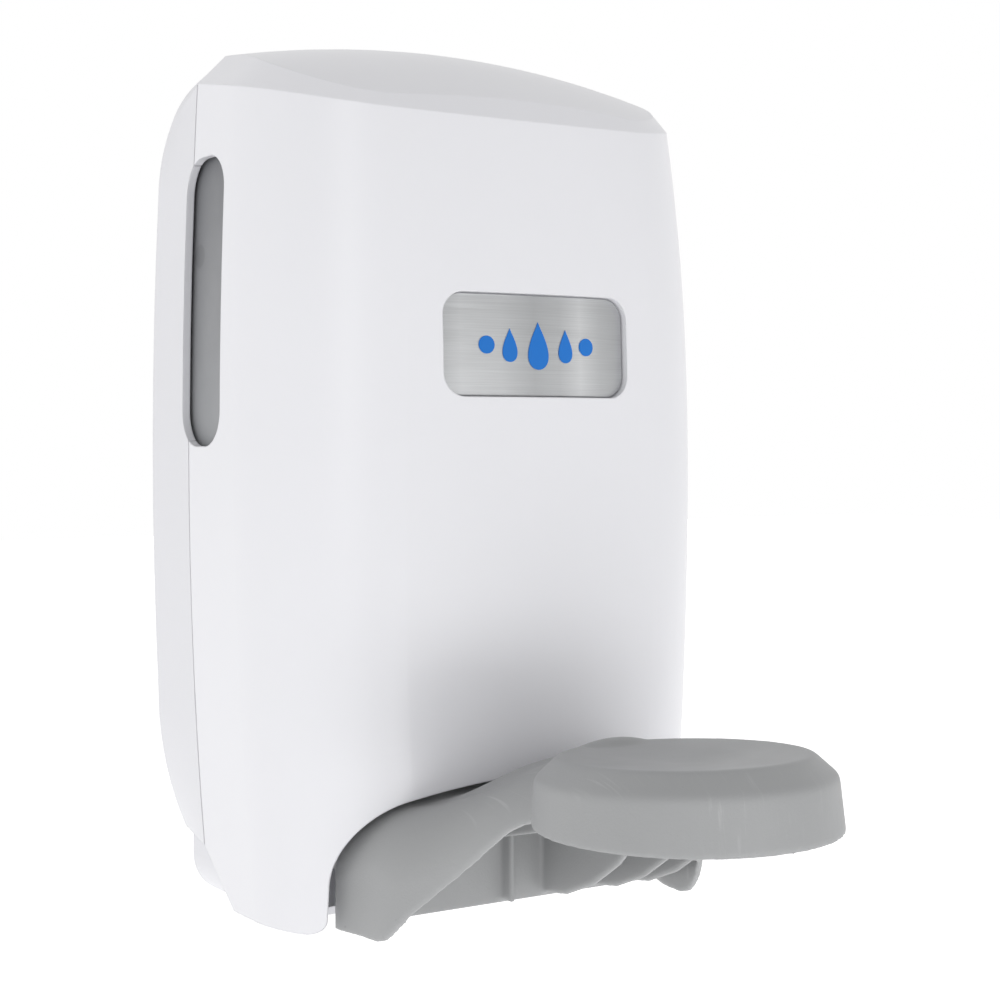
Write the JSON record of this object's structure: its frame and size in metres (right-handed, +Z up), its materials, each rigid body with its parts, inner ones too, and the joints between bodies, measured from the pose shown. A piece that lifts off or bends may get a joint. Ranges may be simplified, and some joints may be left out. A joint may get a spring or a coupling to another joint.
{
  "type": "wall mounted soap dispenser",
  "caption": "Upright wall dispenser with a bevelled domed casing, side sight windows, a brushed nameplate and a protruding elbow lever that works a lift pump.",
  "frame": {"origin": "centre of the four wall-screw holes, on the wall plane", "axes": "+X to the right as seen from the front, +Y into the wall, +Z up"},
  "size_m": [0.167, 0.2298, 0.2896],
  "materials": {
    "shell_white": "satin moulded",
    "cover_white": "semi-gloss moulded",
    "window_smoke": "smoked, satin",
    "pin_steel": "ground",
    "screw_steel": "zinc plated",
    "spring_steel": "drawn wire",
    "inner_grey": "moulded",
    "bottle_white": "milky blow-moulded",
    "collar_white": "moulded",
    "pump_white": "moulded",
    "seal_rubber": "soft",
    "plate_steel": "brushed across",
    "tape_grey": "foam tape",
    "lever_grey": "fine texture",
    "bush_white": "acetal"
  },
  "bodies": {
    "wall_unit": {"back_plate": "shell_white", "sight_window_left": "window_smoke", "sight_window_right": "window_smoke", "hinge_pins": "pin_steel", "refill_shelf": "inner_grey", "shelf_screws": "screw_steel", "refill_bottle": "bottle_white", "pump_collar": "collar_white", "pump_cylinder": "pump_white", "inlet_ball": "pin_steel", "pump_spring": "spring_steel", "return_springs": "spring_steel"},
    "cover": {"front_cover": "cover_white", "nameplate": "plate_steel", "nameplate_tape": "tape_grey", "lever_pins": "pin_steel", "lock_catch": "inner_grey", "catch_screw": "screw_steel"},
    "lever": {"elbow_lever": "lever_grey", "lever_bushes": "bush_white"},
    "pump_lift": {"pump_carriage": "inner_grey", "nozzle_head": "pump_white", "nozzle_valve": "seal_rubber", "pump_piston": "pump_white", "piston_seal": "seal_rubber"},
    "lock": {"lock_barrel": "pin_steel", "lock_cam": "screw_steel", "lock_nut": "screw_steel"}
  },
  "joints": [
    {"name": "cover_open", "type": "hinge", "parent": "wall_unit", "child": "cover", "pos_m": [0, -0.042, -0.115], "axis": [1, 0, 0], "range_deg": [0, 85]},
    {"name": "lever_press", "type": "hinge", "parent": "cover", "child": "lever", "pos_m": [0, -0.072, -0.1], "axis": [1, 0, 0], "range_deg": [0, 18], "stiffness_Nm_per_rad": 0.35, "springref_deg": -34.38},
    {"name": "pump_stroke", "type": "slide", "parent": "wall_unit", "child": "pump_lift", "axis": [0, 0, 1], "range_m": [0, 0.0082], "deforming": ["pump_spring", "return_springs"]},
    {"name": "lock_turn", "type": "hinge", "parent": "wall_unit", "child": "lock", "pos_m": [0, -0.018, 0.138], "axis": [0, 0, 1], "range_deg": [-90, 0]}
  ],
  "couplings": [
    {"joint": "pump_stroke", "follows": "lever_press", "m_per_rad": 0.0256}
  ]
}
